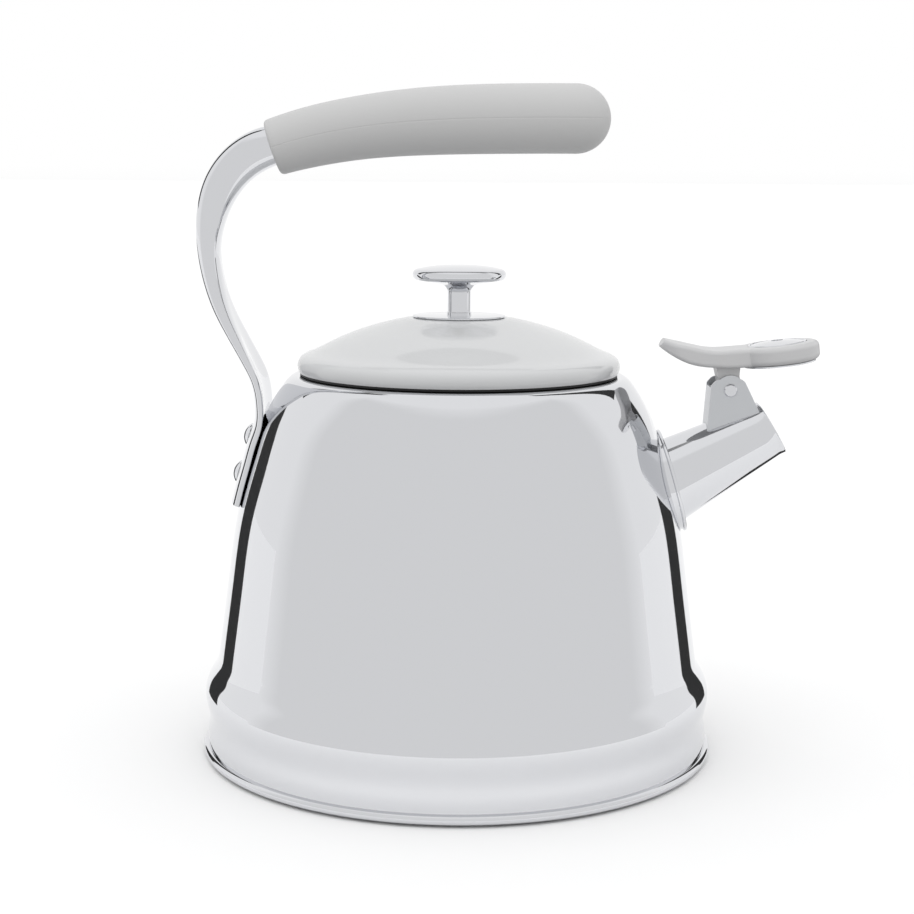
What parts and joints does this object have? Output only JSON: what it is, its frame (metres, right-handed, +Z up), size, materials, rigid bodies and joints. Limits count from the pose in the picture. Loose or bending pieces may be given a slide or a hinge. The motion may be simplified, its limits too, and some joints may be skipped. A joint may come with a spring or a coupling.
{
  "type": "stovetop whistling kettle",
  "caption": "Polished steel stovetop kettle with an enamelled lift-off lid, an arched handle with a soft grip and a short spout with a flip-up whistle.",
  "frame": {"origin": "on the body's axis, at the flat underside of the base, where the kettle stands", "axes": "+Z up along the body's axis, +X towards the spout, the handle at -X; the kettle is symmetric about the XZ plane"},
  "size_m": [0.255, 0.212, 0.2745],
  "materials": {
    "polished_steel": "mirror-polished stainless steel sheet",
    "brushed_steel": "brushed stainless steel",
    "satin_steel": "bead-blasted satin stainless steel",
    "spreader_aluminium": "as pressed",
    "lid_enamel": "glossy light grey enamel on steel",
    "black_silicone": "moulded black silicone",
    "grip_soft_touch": "soft-touch moulded light grey rubber",
    "grip_core_nylon": "moulded glass-filled nylon",
    "lever_plastic": "satin moulded light grey heat-proof plastic"
  },
  "bodies": {
    "kettle": {"body_shell": "polished_steel", "foot_band": "polished_steel", "mouth_collar": "polished_steel", "base_pan": "polished_steel", "heat_spreader": "spreader_aluminium", "base_capsule": "brushed_steel", "spout_tube": "polished_steel", "spout_flange": "polished_steel", "whistle_bracket": "satin_steel", "lever_pin": "brushed_steel", "lever_washers": "brushed_steel", "handle_strap": "polished_steel", "handle_rivets": "polished_steel", "rivet_washers": "brushed_steel", "grip_core": "grip_core_nylon", "grip_sleeve": "grip_soft_touch", "grip_pin": "brushed_steel"},
    "lid": {"lid_dome": "lid_enamel", "lid_skirt": "brushed_steel", "lid_gasket": "black_silicone", "knob": "polished_steel", "knob_collar": "polished_steel", "knob_plate": "polished_steel", "knob_washer": "brushed_steel", "knob_screw": "brushed_steel"},
    "whistle": {"whistle_lever": "lever_plastic", "whistle_top_plate": "polished_steel", "whistle_bottom_plate": "polished_steel"}
  },
  "joints": [
    {"name": "lid_lift", "type": "slide", "parent": "kettle", "child": "lid", "axis": [0, 0, 1], "range_m": [0, 0.035]},
    {"name": "whistle_hinge", "type": "hinge", "parent": "kettle", "child": "whistle", "pos_m": [0.1109, 0, 0.1515], "axis": [0, 1, 0], "range_deg": [0, 66]}
  ]
}
